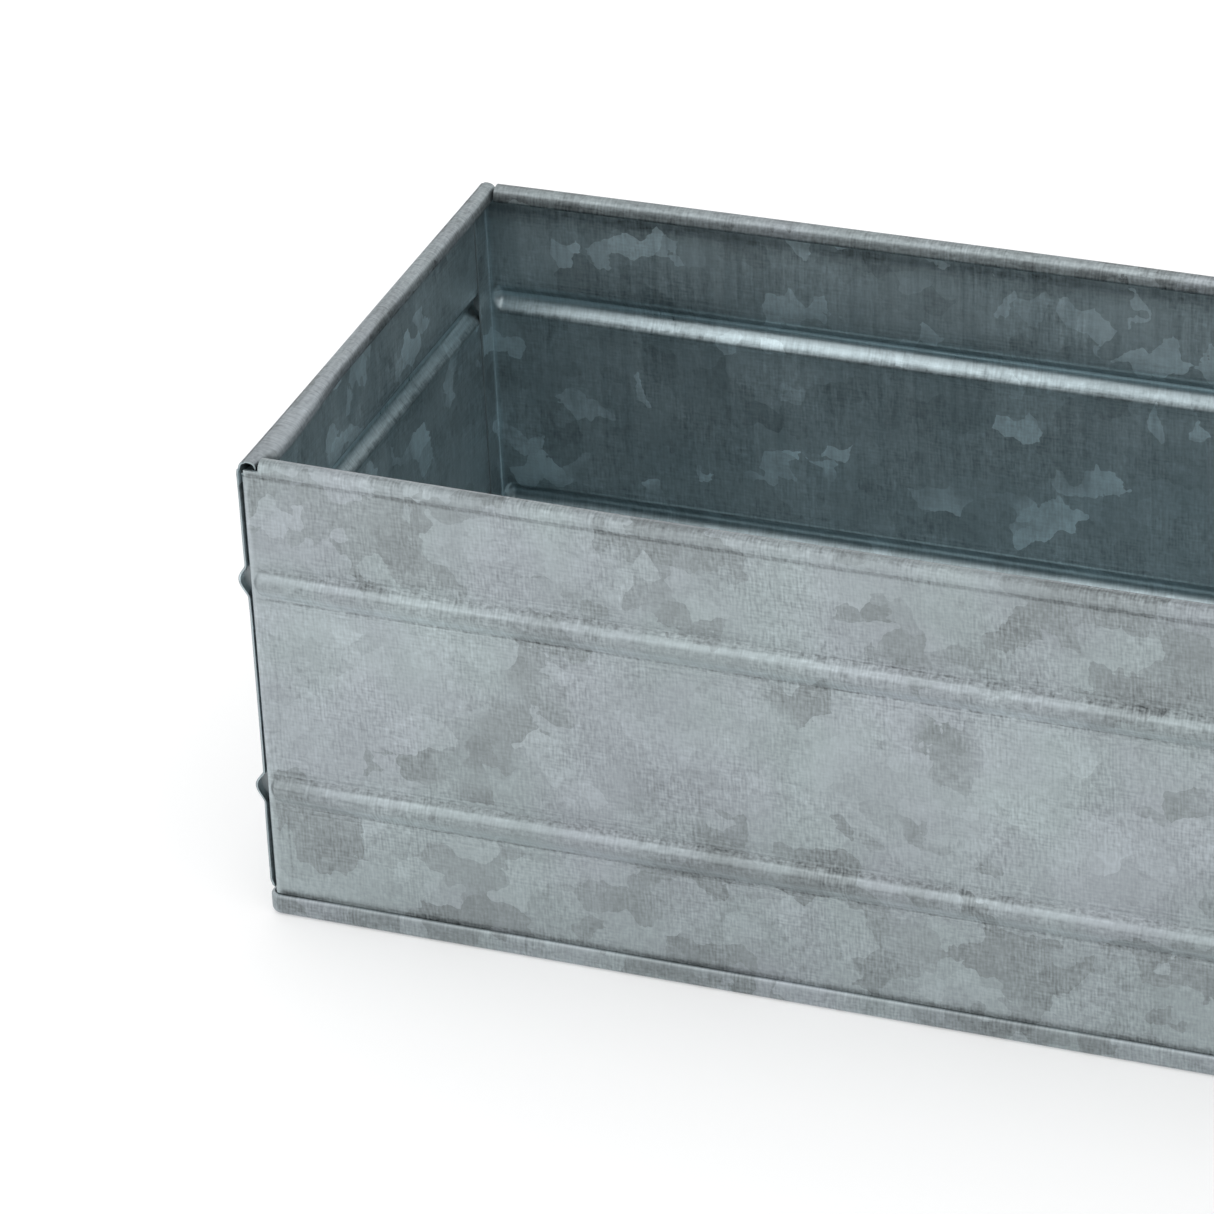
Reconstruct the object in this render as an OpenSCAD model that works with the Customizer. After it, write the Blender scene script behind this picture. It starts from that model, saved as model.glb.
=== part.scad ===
// Rectangular sheet-metal water trough.
// Two long walls with folded corner tabs, two end walls, and a shallow tray that closes the bottom.
// Every wall has a rolled rim and two outward stiffening beads. The laps and the base seam are soldered.
// Millimetres, +Z up. The origin is the middle of the flat underside; the long walls run along X.

/* [Overall size] */
// Length over the end walls
body_l = 600; // [300:10:1200]
// Width over the long walls
body_w = 240; // [160:5:400]
// Height from the ground to the top of the rims
body_h = 200; // [180:5:300]

/* [Sheet] */
// Thickness of the galvanised sheet
sheet_t = 0.8; // [0.6:0.1:1]
// Outer radius of a folded corner
fold_r = 1.2; // [1.1:0.1:1.5]

/* [Rolled rims] */
// Width of a rolled rim, from the outer face inwards
rim_w = 7.6; // [7:0.2:10]
// Height of a rolled rim
rim_h = 6.2; // [6:0.2:7]
// Outer radius of the bend from the wall into the rim
rim_bend_r = 3; // [1.2:0.1:3]
// Slit between the end of the roll and the wall
rim_slit = 0.8; // [0.4:0.1:1]
// Gap between a long wall's rim and the end wall's rim at a corner
rim_corner_gap = 0.7; // [0.4:0.1:2]

/* [Beads] */
// Height of a bead along the wall
bead_w = 12.4; // [10:0.2:14]
// How far a bead stands out from the wall
bead_out = 3.7; // [2.5:0.1:4]
// Height of the upper bead's middle above the ground
upper_bead_z = 148; // [120:1:160]
// Height of the lower bead's middle above the ground
lower_bead_z = 57; // [30:1:90]
// Distance from a long wall's fold to the tip of its bead
bead_tip_gap = 2.4; // [2:0.1:6]

/* [Corner laps] */
// Width of the tab that a long wall folds behind the end wall
tab_w = 11; // [8:0.5:14]
// Thickness of the solder between the tab and the end wall
solder_t = 0.2; // [0.1:0.05:0.3]
// Length of the solder plug that closes a bead behind the tab
plug_l = 4; // [2:0.5:5]

/* [Bottom tray] */
// Height of the flange that is turned up round the walls
flange_h = 8.8; // [7:0.2:14]
// Gap between the flange and the walls, which the base solder fills
flange_gap = 1; // [0.8:0.1:1.4]
// Outer radius of the tray's corners, seen from above
tray_corner_r = 5; // [4:0.2:5.2]
// Outer radius of the bend between floor and flange
tray_bend_r = 2.4; // [1.6:0.2:2.6]
// Distance from the flange's top edge down to the base solder
solder_drop = 2.8; // [1:0.2:3]

/* [Hidden] */
$fn = 64;
// How far a cutting tool runs past the sheet
over = 1;
half_l = body_l / 2;
half_w = body_w / 2;
// Clearance between sheets that pass each other
clear = 0.1;
// Where the walls end at the bottom: just above the curve inside the tray's bend
wall_z0 = sheet_t + 0.5;
// Top of a long wall's sheet beside its rim, which hides the lower half of the end wall's open roll
notch_z = body_h - rim_bend_r - 0.8;
// Top of a long wall's folds and tabs, just under the end wall's roll
tab_top_z = body_h - rim_h - 3 * clear;
// Outer face of a long wall's tab
tab_x = half_l - sheet_t - solder_t;
// Cut at the foot of an end wall, which clears the tray's rounded corner
foot_cut = 3;
// A bead is an arc of a round tube: its outer radius, and how deep the tube's axis lies behind the face
bead_r = (bead_w * bead_w / 4 + bead_out * bead_out) / (2 * bead_out);
bead_depth = bead_r - bead_out;
bead_zs = [lower_bead_z, upper_bead_z];
// Half the length of a long wall's bead between the centres of its round ends
bead_half_l = tab_x - bead_tip_gap - bead_w / 2;
tray_l = half_l + flange_gap + sheet_t;
tray_w = half_w + flange_gap + sheet_t;
galvanised = [0.64, 0.69, 0.72];
tinned = [0.50, 0.53, 0.55];

// ---- shapes shared by the walls; a wall's outer face lies on y = 0 and its inside is at +y ----

// Cross-section of a roll, rim_w wide and rim_h high, with its lowest left corner at the origin:
// straight against the wall, a round bend at the top left and a half circle on the inside.
module roll_outline(inset) {
    r = rim_h / 2;
    translate([rim_w - r, r]) circle(r - inset);
    translate([rim_bend_r, rim_h - rim_bend_r]) circle(rim_bend_r - inset);
    translate([rim_bend_r, inset]) square([rim_w - r - rim_bend_r, rim_h - 2 * inset]);
    translate([inset, inset]) square([rim_bend_r - inset, rim_h - rim_bend_r - inset]);
}

// Cross-section of the sheet's edge rolled inwards; the roll's end stops short of the wall.
module rim_section() {
    difference() {
        roll_outline(0);
        roll_outline(sheet_t);
        translate([sheet_t, -over]) square([rim_slit, over + rim_h / 2]);
    }
}

// A rim along X, centred on x = 0, at the top of the wall.
module rim(length) {
    translate([-length / 2, 0, body_h - rim_h])
        rotate([90, 0, 90])
            linear_extrude(length) rim_section();
}

// The round bar that shapes a bead: r is its radius, round_ends adds half-spheres.
module bead_bar(half_length, r, round_ends) {
    translate([-half_length, bead_depth, 0]) rotate([0, 90, 0]) cylinder(r = r, h = 2 * half_length);
    if (round_ends)
        for (side = [-1, 1]) translate([side * half_length, bead_depth, 0]) sphere(r);
}

// The part of a bead's bar that stands out of the wall.
module bead_outside(half_length, round_ends) {
    intersection() {
        bead_bar(half_length, bead_r, round_ends);
        translate([-half_l - over, -bead_out - over, -bead_w])
            cube([body_l + 2 * over, bead_out + over + sheet_t / 2, 2 * bead_w]);
    }
}

// Presses the beads into the flat wall given as children.
module with_beads(half_length, round_ends) {
    difference() {
        union() {
            children();
            for (z = bead_zs) translate([0, 0, z]) bead_outside(half_length, round_ends);
        }
        for (z = bead_zs) translate([0, 0, z])
            bead_bar(half_length + (round_ends ? 0 : over), bead_r - sheet_t, round_ends);
    }
}

// ---- long walls ----

// Plan of one folded end at +X: the sheet turns from the wall into the tab behind the end wall.
module fold_plan() {
    inner_r = fold_r - sheet_t;
    translate([tab_x - fold_r, fold_r]) intersection() {
        difference() {
            circle(fold_r);
            circle(inner_r);
        }
        translate([0, -fold_r]) square(fold_r);
    }
    translate([tab_x - sheet_t, fold_r]) square([sheet_t, tab_w - fold_r]);
}

// Plan of the whole wall, a shallow U.
module long_wall_plan() {
    flat = tab_x - fold_r;
    translate([-flat, 0]) square([2 * flat, sheet_t]);
    fold_plan();
    mirror([1, 0]) fold_plan();
}

module long_wall() {
    flat = tab_x - fold_r;
    with_beads(bead_half_l, true) {
        translate([0, 0, wall_z0]) linear_extrude(tab_top_z - wall_z0) long_wall_plan();
        translate([-flat, 0, wall_z0]) cube([2 * flat, sheet_t, notch_z - wall_z0]);
        rim(2 * (half_l - rim_w - rim_corner_gap));
    }
}

module front_wall() { color(galvanised) translate([0, -half_w, 0]) long_wall(); }
module back_wall() { color(galvanised) mirror([0, 1, 0]) translate([0, -half_w, 0]) long_wall(); }

// ---- end walls ----

// Removes the foot's corner: straight up past the flange, then slanting out to the free edge.
module foot_corner_cut() {
    clear_z = flange_h + 0.4;
    translate([0, sheet_t + over, 0]) rotate([90, 0, 0]) linear_extrude(sheet_t + 2 * over)
        polygon([
            [half_w - foot_cut, 0],
            [half_w - foot_cut, clear_z],
            [half_w + over, clear_z + foot_cut + over],
            [half_w + over, 0],
        ]);
}

// An end wall, lying along X with its outer face on y = 0. Its rim fits between the long walls.
module end_wall() {
    difference() {
        with_beads(half_w, false) {
            translate([-half_w, 0, wall_z0]) cube([body_w, sheet_t, notch_z - wall_z0]);
            rim(body_w - 2 * (sheet_t + clear));
        }
        foot_corner_cut();
        mirror([1, 0, 0]) foot_corner_cut();
    }
}

module left_end_wall() { color(galvanised) translate([-half_l, 0, 0]) rotate([0, 0, -90]) end_wall(); }
module right_end_wall() { color(galvanised) translate([half_l, 0, 0]) rotate([0, 0, 90]) end_wall(); }

// ---- bottom tray ----

// Section through the floor's edge and the flange; x = 0 is the centre of the plan corner.
module tray_edge_section() {
    bend_x = tray_corner_r - tray_bend_r;
    square([bend_x, sheet_t]);
    translate([bend_x, tray_bend_r]) intersection() {
        difference() {
            circle(tray_bend_r);
            circle(tray_bend_r - sheet_t);
        }
        translate([0, -tray_bend_r]) square(tray_bend_r);
    }
    translate([tray_corner_r - sheet_t, tray_bend_r]) square([sheet_t, flange_h - tray_bend_r]);
}

// One side of the tray, with its outer face at y = -reach.
module tray_side(run, reach) {
    translate([-run / 2, tray_corner_r - reach, 0])
        rotate([90, 0, 90]) linear_extrude(run) mirror([1, 0]) tray_edge_section();
}

module tray_corner() {
    translate([tray_l - tray_corner_r, tray_w - tray_corner_r, 0])
        rotate_extrude(angle = 90) tray_edge_section();
}

module bottom_tray() {
    inner_l = 2 * (tray_l - tray_corner_r);
    inner_w = 2 * (tray_w - tray_corner_r);
    color(galvanised) {
        translate([-inner_l / 2, -inner_w / 2, 0]) cube([inner_l, inner_w, sheet_t]);
        for (turn = [0, 180]) rotate([0, 0, turn]) tray_side(inner_l, tray_w);
        for (turn = [90, 270]) rotate([0, 0, turn]) tray_side(inner_w, tray_l);
        for (flip_x = [0, 1], flip_y = [0, 1])
            mirror([flip_x, 0, 0]) mirror([0, flip_y, 0]) tray_corner();
    }
}

// ---- solder ----

// Film between the tab and the end wall at the front right corner, with a plug in each bead behind it.
// A plug sits in the middle of the tab's width, so the bead stays open at the tab's free edge.
module corner_solder() {
    film_y0 = foot_cut;
    film_w = tab_w - film_y0;
    plug_y0 = -half_w + (tab_w - plug_l) / 2;
    color(tinned) {
        translate([tab_x, -half_w + film_y0, wall_z0]) cube([solder_t, film_w, tab_top_z - wall_z0]);
        for (z = bead_zs) intersection() {
            translate([half_l - bead_depth, plug_y0, z])
                rotate([-90, 0, 0]) cylinder(r = bead_r - sheet_t, h = plug_l);
            translate([tab_x, plug_y0, z - bead_w]) cube([bead_out + over, plug_l, 2 * bead_w]);
        }
    }
}

module front_right_corner_solder() { corner_solder(); }
module front_left_corner_solder() { mirror([1, 0, 0]) corner_solder(); }
module back_right_corner_solder() { mirror([0, 1, 0]) corner_solder(); }
module back_left_corner_solder() { mirror([1, 0, 0]) mirror([0, 1, 0]) corner_solder(); }

// Plan of a rectangle with round corners.
module round_plan(half_x, half_y, r) {
    for (sx = [-1, 1], sy = [-1, 1]) translate([sx * (half_x - r), sy * (half_y - r)]) circle(r);
    square([2 * (half_x - r), 2 * half_y], center = true);
    square([2 * half_x, 2 * (half_y - r)], center = true);
}

// Ring of solder between the walls and the tray's flange.
module base_seam_solder() {
    low_z = tray_bend_r;
    high_z = flange_h - solder_drop;
    end_cut = half_w - foot_cut;
    color(tinned) translate([0, 0, low_z]) linear_extrude(high_z - low_z) difference() {
        round_plan(tray_l - sheet_t, tray_w - sheet_t, tray_corner_r - sheet_t);
        square([2 * (tab_x - fold_r), body_w], center = true);
        square([2 * tab_x, body_w - 2 * fold_r], center = true);
        for (sx = [-1, 1], sy = [-1, 1])
            translate([sx * (tab_x - fold_r), sy * (half_w - fold_r)]) circle(fold_r);
        square([body_l, 2 * end_cut], center = true);
    }
}

front_wall();
back_wall();
left_end_wall();
right_end_wall();
bottom_tray();
front_left_corner_solder();
front_right_corner_solder();
back_left_corner_solder();
back_right_corner_solder();
base_seam_solder();
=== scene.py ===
import math

import bpy
import numpy as np
from mathutils import Matrix, Vector


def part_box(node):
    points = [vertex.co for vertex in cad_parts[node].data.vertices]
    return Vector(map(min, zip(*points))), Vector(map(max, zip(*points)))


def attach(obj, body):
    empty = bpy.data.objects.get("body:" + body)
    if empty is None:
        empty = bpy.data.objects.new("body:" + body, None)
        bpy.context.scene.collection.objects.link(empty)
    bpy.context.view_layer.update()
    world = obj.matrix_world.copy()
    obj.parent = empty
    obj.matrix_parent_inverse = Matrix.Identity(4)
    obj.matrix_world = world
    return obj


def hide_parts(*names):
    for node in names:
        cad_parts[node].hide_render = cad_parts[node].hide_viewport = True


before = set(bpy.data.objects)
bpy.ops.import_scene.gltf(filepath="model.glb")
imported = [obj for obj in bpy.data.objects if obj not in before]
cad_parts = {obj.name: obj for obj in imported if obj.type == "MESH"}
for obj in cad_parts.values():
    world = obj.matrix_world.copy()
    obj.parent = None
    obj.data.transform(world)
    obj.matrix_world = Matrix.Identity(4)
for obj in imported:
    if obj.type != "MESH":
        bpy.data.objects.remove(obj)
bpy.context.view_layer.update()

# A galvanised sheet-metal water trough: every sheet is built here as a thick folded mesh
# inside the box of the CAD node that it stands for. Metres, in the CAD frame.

MM = 0.001

# ---- sizes that the frame gives ----
front_low, front_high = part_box("front_wall")
end_low, end_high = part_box("left_end_wall")
tray_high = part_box("bottom_tray")[1]
seam_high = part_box("base_seam_solder")[1]

HALF_WIDTH = -end_low.y                     # outer face of a long wall
BEAD_OUT = -front_low.y - HALF_WIDTH        # how far a bead stands out
HALF_LENGTH = -end_low.x - BEAD_OUT         # outer face of an end wall
TAB_FACE = front_high.x                     # outer face of a long wall's folded tab
TAB_WIDTH = front_high.y + HALF_WIDTH
RIM_WIDTH = end_high.x + HALF_LENGTH
TOP = front_high.z
FOOT = front_low.z
FLANGE_TOP = tray_high.z

# ---- sizes of the folding, as in the CAD ----
SHEET = 0.8 * MM
FOLD_RADIUS = 1.2 * MM
RIM_HEIGHT = 6.2 * MM
RIM_BEND_RADIUS = 3.0 * MM
RIM_SLIT = 0.8 * MM
RIM_CORNER_GAP = 0.7 * MM                   # between the ends of two walls' rims
END_RIM_GAP = 0.1 * MM                      # between an end wall's rim and the long walls' sheet
NOTCH_TOP = TOP - RIM_BEND_RADIUS - 0.8 * MM
TAB_TOP = TOP - RIM_HEIGHT - 0.3 * MM
BEAD_HEIGHTS = (57 * MM, 148 * MM)
BEAD_ABOVE = 6.4 * MM                       # reach of a bead above its crest
BEAD_BELOW = 7.2 * MM                       # and below it, where the slope is longer
BEAD_SHARPNESS = 1.6
BEAD_TIP = 4 * MM                           # a long wall's bead rises to BEAD_TIP_SHARE over this
BEAD_TIP_SHARE = 0.8
BEAD_END = 40 * MM                          # and is at its full height this far from the fold
FOOT_CUT = 3 * MM                           # an end wall is narrower inside the tray's flange
FOOT_CUT_TOP = FLANGE_TOP + 0.4 * MM
FOOT_SLANT_TOP = FOOT_CUT_TOP + 3 * FOOT_CUT
TRAY_CORNER = 5 * MM
TRAY_BEND = 2.4 * MM
HEM_RADIUS = 1.0 * MM                       # the flange's top edge is turned in

# ---- a rim's roll: a flat top, a round shoulder, a leaning side and a tight curl under it ----
ROLL_FLAT = 0.6 * MM
ROLL_LEAN = math.radians(7)                 # from upright
ROLL_SHOULDER = 0.75                        # share of the side that the shoulder's curve takes
ROLL_CURL = 1.0 * MM

# ---- how far the real sheet strays from flat ----
RIM_BOW = 3.0 * MM                          # a long wall's rim bows out at mid-length
RIM_LIP = 0.45 * MM                         # the sheet leans out just under its rim
LIP_FOOT = TOP - RIM_HEIGHT - 2 * MM
LIP_RISE = 5 * MM
PANEL_FLEX = 0.35 * MM
FLEX_FROM_SIDE = 30 * MM                    # a panel is flat at its sides, and strays fully from here
FLEX_FROM_TRAY = 20 * MM
RIPPLE_SHARES = (0.4, 0.3, 0.2, 0.1)        # strengths of the waves that add up to a panel's flex
RIPPLE_WAVE_NUMBERS = (8, 45)               # their range, in radians per metre
EDGE_FLARE = 1.1 * MM                       # an end wall's free edge lifts off the fold
FLARE_REACH = 3 * MM
FLARE_FROM_TOP = 6 * MM
FLARE_FROM_TRAY = 5 * MM
FLARE_MEAN = 0.45                           # share of the lift that is there all along the edge
FLARE_SWING = 0.55                          # share that comes and goes once over the height
FLARE_FLUTTER = 0.12                        # share that comes and goes more often
FLUTTER_LENGTH = 9 * MM                     # height in which its wave goes through one radian
LEAST_FLARE = 0.1
RIM_CREASE = 0.3 * MM                       # depth of the crease along the ends of an end wall's rim
CREASE_AT = 1.9 * MM                        # its distance from the wall's outer face
CREASE_WIDTH = 0.4 * MM
CREASE_END = 108 * MM                       # it is gone this far from the wall's edge
CREASE_FADE = 90 * MM
RIM_SPREAD = 3.2 * MM                       # an end wall's roll is flattened inwards near one end
SPREAD_RISE = 6 * MM
SPREAD_END = 90 * MM                        # and round again this far from it
SPREAD_FADE = 70 * MM
END_RIM_DROP = 0.5 * MM                     # an end wall's rim stands a little lower
FLANGE_CLOSING = 0.3 * MM                   # the tray's flange is closed in against the walls
CLOSING_WAVE = 0.08 * MM
CLOSING_WAVE_NUMBER = 60                    # radians per metre round the tray
CLOSING_START = 4 * MM                      # from a corner's curve
CLOSING_RISE = 30 * MM
CLOSING_FOOT = seam_high.z - 0.5 * MM       # it begins just below the solder's top

# ---- painted shade and painted highlights: stripes of (strength, low, high), with mm above the line that they follow ----
# painted shade and painted light along a bead: darker round its crest, above it and in the crease at
# its foot; lighter on its upper slope, its lower slope and below it
BEAD_SHADE = ((0.9, -1.6, 1.7), (1.2, 4.3, 6.3), (1.6, -7.6, -6.6))
BEAD_HIGHLIGHT = ((1.6, 2.0, 3.9), (2.2, -6.4, -2.6), (0.3, -12, -7.8))
GROOVE_SHADE = ((2.5, -7.4, -5.4),)          # a bead seen from inside is a groove; painted shade at the lower edge of its highlight
# painted highlight on the groove's slope that faces up
GROOVE_HIGHLIGHT = ((7, -0.6, 2.2), (0.6, -5, 5))
LOWER_GROOVE_SHARE = 0.15                   # the lower groove gets little of the painted highlight
UNDER_RIM_SHADE = ((2.0, -7.0, -5.2),)       # painted shade in a strip under the rim, from the rim's top
# painted highlight low on the rim's outer bend
RIM_BEND_HIGHLIGHT = ((1.0, -3.8, -1.6),)
TAB_PRINT = ((1.5, 16, 44), (0.9, 80, 125))     # from the ground, where the tab's edge presses
TAB_PRINT_AT = 0.6 * TAB_WIDTH
TAB_PRINT_WIDTH = 0.4 * MM
STRIPE_EDGE = 0.7 * MM

# ---- wear, painted shade and painted highlights in other shapes: strengths, places and reaches ----
RUB_REACH = 4 * MM                          # tool marks along both edges of a bead
# painted shade on the roll's top and on its side
ROLL_TOP_SHADE = 1.6
ROLL_SIDE_SHADE = 3
ROLL_TOP_DEPTH = 1.8 * MM                   # what still counts as the roll's top
ROLL_FADE = 1.2 * MM
ROLL_SHADOW = 3.2                           # painted shadow on the wall's inner face under its roll
SHADOW_AT = TOP - RIM_HEIGHT - 5.2 * MM
SHADOW_REACH = 3.0 * MM
SHOULDER_AT = TOP - 0.5 * MM                # the roll's shoulder is burnished
SHOULDER_REACH = 0.6 * MM
FOLD_REACH = 1.1 * MM
# painted highlight along the folds, on the inner face
INNER_FOLD_HIGHLIGHT = 5
SEAM_SHADE = 3.15                                # painted shade on a long wall just above the tray's flange, where the two meet
CORNER_SEAM_SHADE = 2.1                          # and how much more near its folds
SEAM_SHADE_AT = FLANGE_TOP + 0.8 * MM
SEAM_SHADE_REACH = 1.3 * MM
CORNER_SEAM_SHADE_REACH = 25 * MM
SEAM_SHADE_START = 3 * MM
CREASE_SHADE = 4                             # painted shade in the crease along an end wall's rim
SPREAD_SHADE_CUT = 0.8                          # share of the rim's painted shade taken off where it is flattened
# painted shade on the side of the tray's flange
FLANGE_SHADE = 0.8
FLANGE_SHADE_TOP = 0.2 * MM                  # above the start of the hem
HEM_SHINE = 0.3
# painted highlight along the flange's hem
HEM_HIGHLIGHT = 0.8

# ---- how fine the meshes are ----
COARSE = 6 * MM
FINE = 0.6 * MM
EDGE_ZONE = 16 * MM                         # stretches of fine mesh: at an end wall's edges,
ABOVE_BEAD_ZONE = BEAD_ABOVE + 1.6 * MM     # round the beads,
BELOW_BEAD_ZONE = BEAD_BELOW + 2.4 * MM
FOOT_ZONE = 5 * MM                          # above the tray's flange
RIM_ZONE = 14 * MM                          # and below the top
RIM_BEND_POINTS = 14
SHOULDER_POINTS = 12
CURL_POINTS = 8
FOLD_POINTS = 8
TAB_POINTS = 8
TRAY_CORNER_POINTS = 9
TRAY_BEND_POINTS = 8
FLANGE_POINTS = 8
HEM_POINTS = 9
FLOOR_RINGS = [*np.linspace(0.06, 0.94, 14), 0.98]      # shares of the tray's plan
EDGE_ANGLE = math.radians(40)               # sharper edges than this are shaded as edges
LEAST_REACH = 1e-6                          # keeps a division from being one by nothing
HAIR = 0.01 * MM                            # a tolerance
INNER_PATTERN_SHIFT = np.array([0.013, 0.029, 0.5])     # so a sheet's two faces look different


# ---- numbers along a sheet ----

def smooth(value):
    """0 below 0, 1 above 1, and an even curve between them."""
    value = np.clip(value, 0, 1)
    return value * value * (3 - 2 * value)


def peak(place, centre, reach):
    """1 at the centre and less on both sides of it."""
    return np.exp(-(((place - centre) / reach) ** 2))


def band(place, low, high):
    """1 from low to high and 0 outside, with soft edges."""
    return smooth((place - low) / STRIPE_EDGE + 0.5) * smooth((high - place) / STRIPE_EDGE + 0.5)


def along_lines(z, lines, stripes):
    """The stripes along every one of the level lines, which are given by their heights."""
    return sum(strength * band(z, line + low * MM, line + high * MM)
               for line in lines for strength, low, high in stripes)


def ladder(marks, fine_zones):
    """Sorted places that hold every mark, close together inside the fine zones."""
    low, high = min(marks), max(marks)
    zone_ends = [end for zone in fine_zones for end in zone if low < end < high]
    stops = sorted(set(marks) | set(zone_ends))
    places = []
    for start, end in zip(stops, stops[1:]):
        middle = (start + end) / 2
        is_fine = any(zone[0] <= middle <= zone[1] for zone in fine_zones)
        count = max(1, round((end - start) / (FINE if is_fine else COARSE)))
        places.extend(np.linspace(start, end, count, endpoint=False))
    return np.array(places + [high])


def arc(centre, radius, start, end, count):
    """Points on an arc, with angles in degrees."""
    angles = np.radians(np.linspace(start, end, count))
    return np.stack([centre[0] + radius * np.cos(angles), centre[1] + radius * np.sin(angles)], 1)


def rounded_corner(start, end, lean):
    """Points from a level line at start, round a shoulder and down a side that leans out to end."""
    corner = np.array([end[0] - (start[1] - end[1]) * math.tan(lean), start[1]])
    side = corner + ROLL_SHOULDER * (end - corner)
    shares = np.linspace(0, 1, SHOULDER_POINTS)[1:, None]
    return (1 - shares) ** 2 * start + 2 * shares * (1 - shares) * corner + shares ** 2 * side


def travelled(points):
    """Distance along a line of points, from its first one."""
    steps = np.linalg.norm(np.diff(points, axis=0), axis=1)
    return np.concatenate([[0], np.cumsum(steps)])


def ripple(across, up, seed):
    """A gentle unevenness from -1 to 1, the same on every run."""
    draw = np.random.default_rng(seed)
    total = np.zeros(np.broadcast(across, up).shape)
    for share in RIPPLE_SHARES:
        wave_across, wave_up = draw.uniform(*RIPPLE_WAVE_NUMBERS, 2)
        phase_across, phase_up = draw.uniform(0, 2 * math.pi, 2)
        total += share * np.sin(across * wave_across + phase_across) * np.cos(up * wave_up + phase_up)
    return total


# ---- building meshes ----

def sheet_faces(cells, rows, columns, closed, capped):
    """Quads of both faces and of the edges between them; inner points follow the outer ones."""
    index = np.arange(rows * columns).reshape(rows, columns)
    if closed:
        index = np.concatenate([index, index[:, :1]], 1)
    corners = [index[:-1, :-1], index[:-1, 1:], index[1:, 1:], index[1:, :-1]]
    outer = np.stack([corner[cells] for corner in corners], 1)
    sides = {(quad[i], quad[(i + 1) % 4]) for quad in outer.tolist() for i in range(4)}
    inside = rows * columns
    ring = set(range(columns)) if capped else set()
    faces = outer.tolist() + (outer[:, ::-1] + inside).tolist()
    for start, end in sorted(sides):
        is_free = (end, start) not in sides
        if is_free and not (start in ring and end in ring):
            faces.append([end, start, start + inside, end + inside])
    if capped:
        first = list(range(columns))
        faces.append(first[::-1])
        faces.append([i + inside for i in first])
    return faces


def store(mesh, name, values):
    """Keeps one number or one vector for each point of the mesh."""
    is_vector = values.ndim == 2
    kept = mesh.attributes.new(name, "FLOAT_VECTOR" if is_vector else "FLOAT", "POINT")
    kept.data.foreach_set("vector" if is_vector else "value", values.astype(np.float32).ravel())


def thick_sheet(name, middle, cells, flat, marks, closed=False, capped=False):
    """A mesh of the sheet's thickness round a grid of points in its middle.

    cells says which cells of the grid are metal. flat is each point's place on the sheet before
    it was folded, which the material's pattern follows. marks gives the material one number per
    point for each kind of mark, as a pair: on the outer face and on the inner face; the marks are
    tool wear, painted shade with the tab's printed line, painted highlights and burnished smoothness.
    closed joins the last column to the first, and capped closes the hole inside the first row."""
    rows, columns = middle.shape[:2]
    if closed:
        along = np.roll(middle, -1, 1) - np.roll(middle, 1, 1)
    else:
        along = np.gradient(middle, axis=1)
    normal = np.cross(along, np.gradient(middle, axis=0))
    normal /= np.linalg.norm(normal, axis=2, keepdims=True)
    both = np.concatenate([middle + normal * SHEET / 2, middle - normal * SHEET / 2])
    points = both.reshape(-1, 3)
    faces = sheet_faces(cells, rows, columns, closed, capped)
    used = np.unique([corner for face in faces for corner in face])
    renumber = np.zeros(len(points), int)
    renumber[used] = np.arange(len(used))
    mesh = bpy.data.meshes.new(name)
    mesh.from_pydata(points[used].tolist(), [], [renumber[face].tolist() for face in faces])
    both_flat = np.concatenate([flat, flat + INNER_PATTERN_SHIFT])
    store(mesh, "flat_place", both_flat.reshape(-1, 3)[used])
    for mark, (outer, inner) in marks.items():
        outer, inner = [np.broadcast_to(side, (rows, columns)) for side in (outer, inner)]
        store(mesh, mark, np.concatenate([outer, inner]).reshape(-1)[used])
    store(mesh, "inside", np.repeat([0.0, 1.0], rows * columns)[used])
    mesh.shade_smooth()
    mesh.set_sharp_from_angle(angle=EDGE_ANGLE)
    piece = bpy.data.objects.new(name, mesh)
    bpy.context.scene.collection.objects.link(piece)
    return piece


def placed(points, turn, reach):
    """Turns a wall that lies along X, its outer face towards -Y, to its side of the trough."""
    shifted = points - np.array([0, reach, 0])
    return shifted @ np.array(Matrix.Rotation(math.radians(turn), 3, "Z")).T


# ---- what all four walls share ----

def wall_section(extra_marks=()):
    """Points (depth behind the outer face, height) in the middle of the sheet, from foot to roll,
    and how many of them are in the upright stretch."""
    zones = [(crest - BELOW_BEAD_ZONE, crest + ABOVE_BEAD_ZONE) for crest in BEAD_HEIGHTS]
    zones += [(FOOT, FLANGE_TOP + FOOT_ZONE), (TOP - RIM_ZONE, TOP)]
    bend_foot = TOP - RIM_BEND_RADIUS
    heights = ladder([FOOT, TAB_TOP, NOTCH_TOP, bend_foot, *extra_marks], zones)
    upright = np.stack([np.full(len(heights), SHEET / 2), heights], 1)
    bend = arc((RIM_BEND_RADIUS, bend_foot), RIM_BEND_RADIUS - SHEET / 2, 180, 90, RIM_BEND_POINTS)
    top_z, curl_z = TOP - SHEET / 2, TOP - RIM_HEIGHT + SHEET / 2
    flat = np.array([[RIM_BEND_RADIUS + ROLL_FLAT, top_z]])
    curl_centre = (RIM_WIDTH - SHEET / 2 - ROLL_CURL, curl_z + ROLL_CURL)
    curl = arc(curl_centre, ROLL_CURL, math.degrees(ROLL_LEAN), -90, CURL_POINTS)
    shoulder = rounded_corner(flat[-1], curl[0], ROLL_LEAN)
    tucked = np.array([[SHEET + RIM_SLIT, curl_z]])
    return np.concatenate([upright, bend[1:], flat, shoulder, curl, tucked]), len(heights)


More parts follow.
